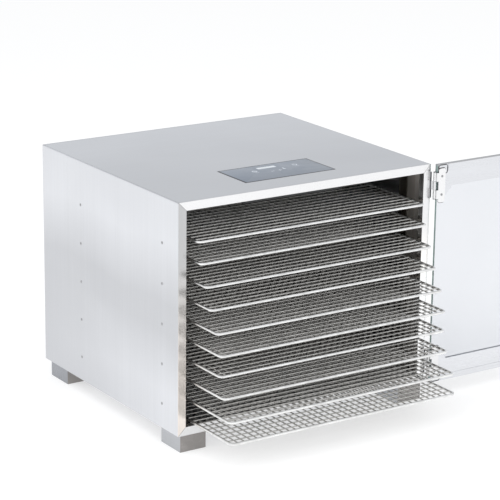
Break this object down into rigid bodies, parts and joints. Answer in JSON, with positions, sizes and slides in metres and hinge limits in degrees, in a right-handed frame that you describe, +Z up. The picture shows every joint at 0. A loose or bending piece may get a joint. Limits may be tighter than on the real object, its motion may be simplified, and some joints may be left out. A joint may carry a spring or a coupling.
{
  "type": "food dehydrator",
  "caption": "Bench-top food dehydrator: brushed steel cabinet on folded feet, sliding wire trays, top touch panel and a side-hinged glass door that folds right back.",
  "frame": {"origin": "on the floor, at the centre of the rectangle of fixing holes under the four feet, which is the centre of the cabinet's footprint", "axes": "+X to the right along the front, +Y from the front to the back, +Z up"},
  "size_m": [0.8453, 0.4888, 0.3541],
  "materials": {
    "brushed_steel": "fine brushed stainless",
    "side_steel": "upright brushed stainless",
    "frame_steel": "pale brushed stainless",
    "inner_steel": "plain mill finish",
    "foot_steel": "folded mill-finish sheet",
    "fastener_steel": "plated steel",
    "panel_grey": "satin printed film",
    "display": "display window",
    "black_plastic": "moulded plastic",
    "circuit_board": "solder mask",
    "motor_black": "black enamel",
    "heater_steel": "heat-tinted tube",
    "guard_chrome": "plated wire",
    "contact_brass": "plated contact",
    "hinge_dark": "dark plated",
    "fan_aluminium": "pressed sheet",
    "clear_glass": "toughened glass",
    "band_steel": "brushed stainless",
    "clear_rubber": "translucent silicone",
    "hinge_light": "white plated",
    "handle_steel": "polished bar",
    "magnet": "rubber-cased magnet",
    "tray_wire": "bright plated wire"
  },
  "bodies": {
    "cabinet": {"top_panel": "brushed_steel", "side_panel_left": "side_steel", "side_panel_right": "side_steel", "base_panel": "side_steel", "back_panel": "side_steel", "front_frame": "frame_steel", "baffle_panel": "inner_steel", "motor_plate": "inner_steel", "rack_posts": "inner_steel", "tray_runners": "inner_steel", "rack_rivets": "fastener_steel", "foot_front_left": "foot_steel", "foot_front_right": "foot_steel", "foot_rear_left": "foot_steel", "foot_rear_right": "foot_steel", "foot_screws": "fastener_steel", "control_panel": "panel_grey", "display_window": "display", "control_housing": "black_plastic", "control_board": "circuit_board", "fan_motor": "motor_black", "motor_bracket": "inner_steel", "motor_screws": "fastener_steel", "heater_ring": "heater_steel", "heater_clips": "inner_steel", "fan_guard": "guard_chrome", "thermal_cutout": "black_plastic", "temperature_sensor": "fastener_steel", "power_inlet": "black_plastic", "inlet_pins": "contact_brass", "rear_screws": "fastener_steel", "hinge_leaf_top": "hinge_dark", "hinge_leaf_bottom": "hinge_dark", "hinge_rivets": "fastener_steel"},
    "fan_rotor": {"fan_shaft": "fastener_steel", "fan_blade": "fan_aluminium", "fan_nut": "fastener_steel"},
    "pins": {"hinge_pins": "fastener_steel"},
    "door": {"door_glass": "clear_glass", "door_band_top": "band_steel", "door_band_bottom": "band_steel", "glass_strips": "clear_rubber", "hinge_pads": "black_plastic", "hinge_clip_top": "hinge_light", "hinge_clip_bottom": "hinge_light", "clip_screws": "fastener_steel", "door_handle": "handle_steel", "handle_screws": "fastener_steel", "door_magnets": "magnet"},
    "tray_01": {"tray_01": "tray_wire"},
    "tray_02": {"tray_02": "tray_wire"},
    "tray_03": {"tray_03": "tray_wire"},
    "tray_04": {"tray_04": "tray_wire"},
    "tray_05": {"tray_05": "tray_wire"},
    "tray_06": {"tray_06": "tray_wire"},
    "tray_07": {"tray_07": "tray_wire"},
    "tray_08": {"tray_08": "tray_wire"},
    "tray_09": {"tray_09": "tray_wire"},
    "tray_10": {"tray_10": "tray_wire"}
  },
  "joints": [
    {"name": "fan_spin", "type": "hinge", "parent": "cabinet", "child": "fan_rotor", "pos_m": [0, 0.14, 0.189], "axis": [0, 1, 0], "continuous": true},
    {"name": "pin_turn", "type": "hinge", "parent": "cabinet", "child": "pins", "pos_m": [0.2127, -0.1975, 0.189], "axis": [0, 0, 1], "range_deg": [-90, 0]},
    {"name": "door_swing", "type": "hinge", "parent": "pins", "child": "door", "pos_m": [0.2127, -0.1975, 0.189], "axis": [0, 0, 1], "range_deg": [-90, 0]},
    {"name": "tray_01_slide", "type": "slide", "parent": "cabinet", "child": "tray_01", "axis": [0, -1, 0], "range_m": [-0.022, 0.178]},
    {"name": "tray_02_slide", "type": "slide", "parent": "cabinet", "child": "tray_02", "axis": [0, -1, 0], "range_m": [-0.029, 0.171]},
    {"name": "tray_03_slide", "type": "slide", "parent": "cabinet", "child": "tray_03", "axis": [0, -1, 0], "range_m": [-0.043, 0.157]},
    {"name": "tray_04_slide", "type": "slide", "parent": "cabinet", "child": "tray_04", "axis": [0, -1, 0], "range_m": [-0.055, 0.145]},
    {"name": "tray_05_slide", "type": "slide", "parent": "cabinet", "child": "tray_05", "axis": [0, -1, 0], "range_m": [-0.071, 0.129]},
    {"name": "tray_06_slide", "type": "slide", "parent": "cabinet", "child": "tray_06", "axis": [0, -1, 0], "range_m": [-0.08, 0.12]},
    {"name": "tray_07_slide", "type": "slide", "parent": "cabinet", "child": "tray_07", "axis": [0, -1, 0], "range_m": [-0.079, 0.121]},
    {"name": "tray_08_slide", "type": "slide", "parent": "cabinet", "child": "tray_08", "axis": [0, -1, 0], "range_m": [-0.088, 0.112]},
    {"name": "tray_09_slide", "type": "slide", "parent": "cabinet", "child": "tray_09", "axis": [0, -1, 0], "range_m": [-0.104, 0.096]},
    {"name": "tray_10_slide", "type": "slide", "parent": "cabinet", "child": "tray_10", "axis": [0, -1, 0], "range_m": [-0.108, 0.092]}
  ]
}
